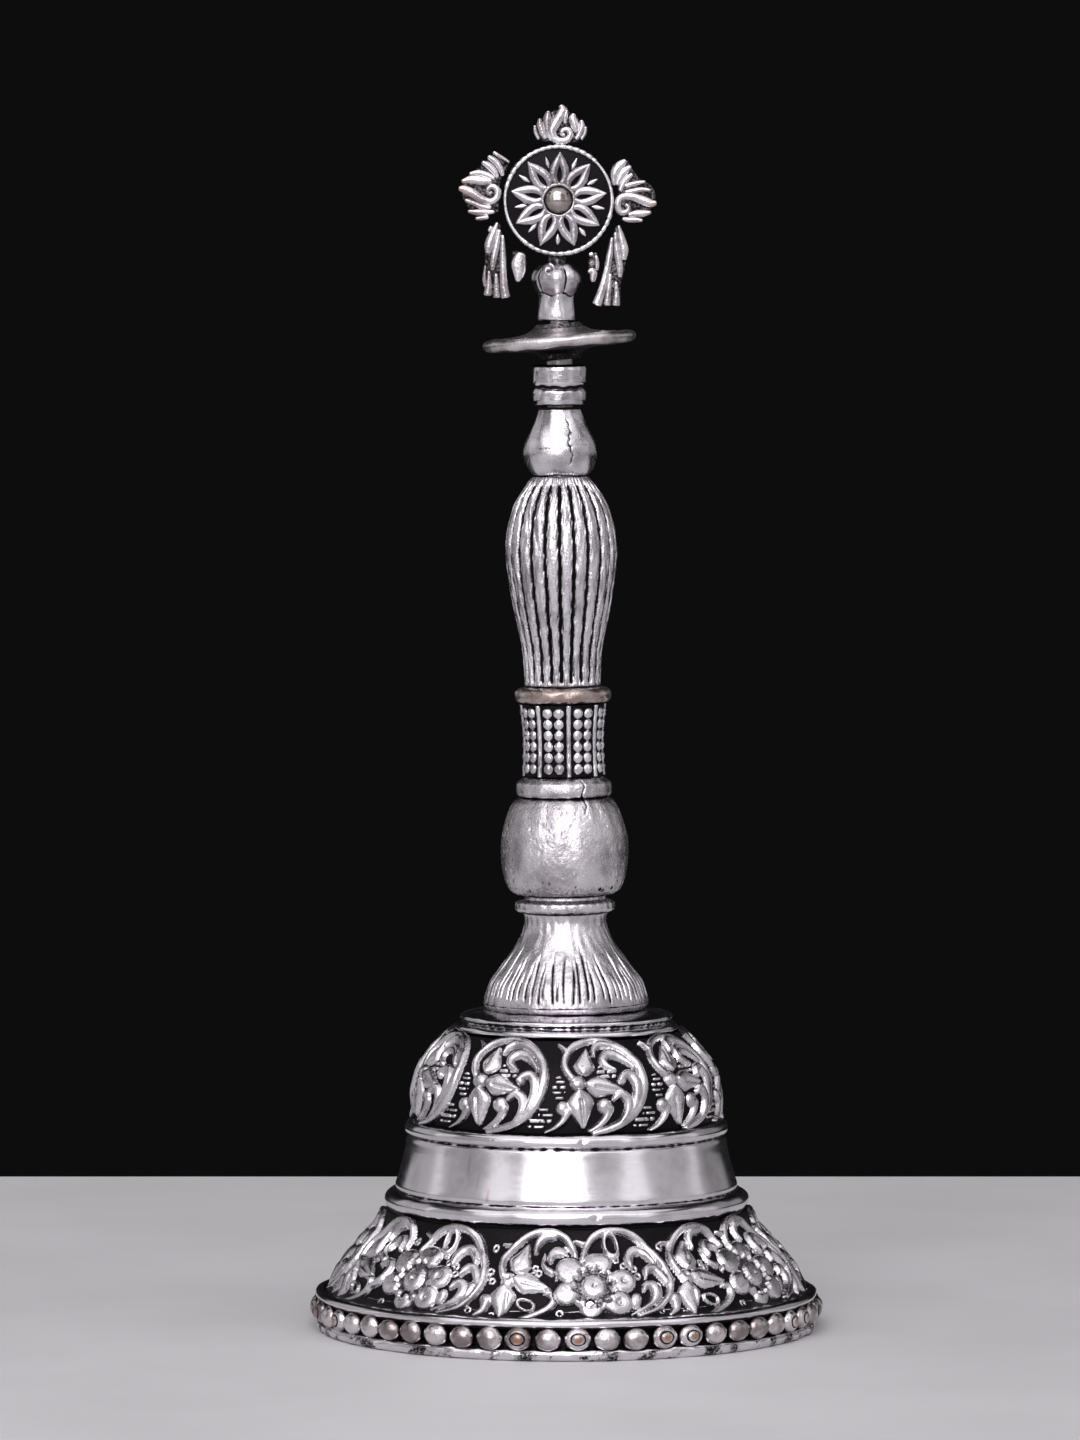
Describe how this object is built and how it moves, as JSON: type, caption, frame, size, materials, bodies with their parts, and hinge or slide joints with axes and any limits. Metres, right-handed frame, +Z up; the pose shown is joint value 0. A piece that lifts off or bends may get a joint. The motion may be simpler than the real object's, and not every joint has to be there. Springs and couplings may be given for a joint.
{
  "type": "ritual hand bell",
  "caption": "Silver-plated ritual hand bell: relief-cast cup with a swinging clapper, baluster handle and a wheel finial with flames and ribbons.",
  "frame": {"origin": "centre of the rim's underside, on the surface that the bell stands on", "axes": "+Z up along the cup's axis and the handle, -Y towards the front of the wheel, +X to the right of someone facing that front"},
  "size_m": [0.0802, 0.0802, 0.1903],
  "materials": {
    "cup_silver": "silver-plated relief, black in the recesses, worn bright on the ridges",
    "handle_silver": "silver-plated castings with dark grooves and coppery wear",
    "disc_silver": "silver-plated, worn brownish at the edge",
    "finial_silver": "silver-plated openwork with blackened ground",
    "hub_brass": "darkened brass dome",
    "rod_steel": "dull steel",
    "clapper_brass": "plain cast brass"
  },
  "bodies": {
    "bell": {"bell_cup": "cup_silver", "handle_base": "handle_silver", "ball_knop": "handle_silver", "beaded_sleeve": "handle_silver", "sleeve_ring": "handle_silver", "fluted_grip": "handle_silver", "pear_knop": "handle_silver", "collar": "handle_silver", "finial_disc": "disc_silver", "finial_stem": "finial_silver", "chakra_wheel": "finial_silver", "chakra_rosette_front": "finial_silver", "chakra_rosette_back": "finial_silver", "hub_rivet": "hub_brass", "flame_top": "finial_silver", "flame_left": "finial_silver", "flame_right": "finial_silver", "ribbon_left": "finial_silver", "ribbon_right": "finial_silver", "scroll_left": "finial_silver", "scroll_right": "finial_silver", "tie_rod": "rod_steel", "crown_washer": "rod_steel", "crown_nut": "rod_steel"},
    "clapper_link": {"swivel_yoke": "clapper_brass", "yoke_pin": "rod_steel"},
    "clapper": {"clapper_rod": "clapper_brass", "clapper_bob": "clapper_brass"}
  },
  "joints": [
    {"name": "clapper_turn", "type": "hinge", "parent": "bell", "child": "clapper_link", "pos_m": [0, 0, 0.0407], "axis": [0, 0, 1], "continuous": true},
    {"name": "clapper_swing", "type": "hinge", "parent": "clapper_link", "child": "clapper", "pos_m": [0, 0, 0.0336], "axis": [1, 0, 0], "range_deg": [-49, 49]}
  ]
}
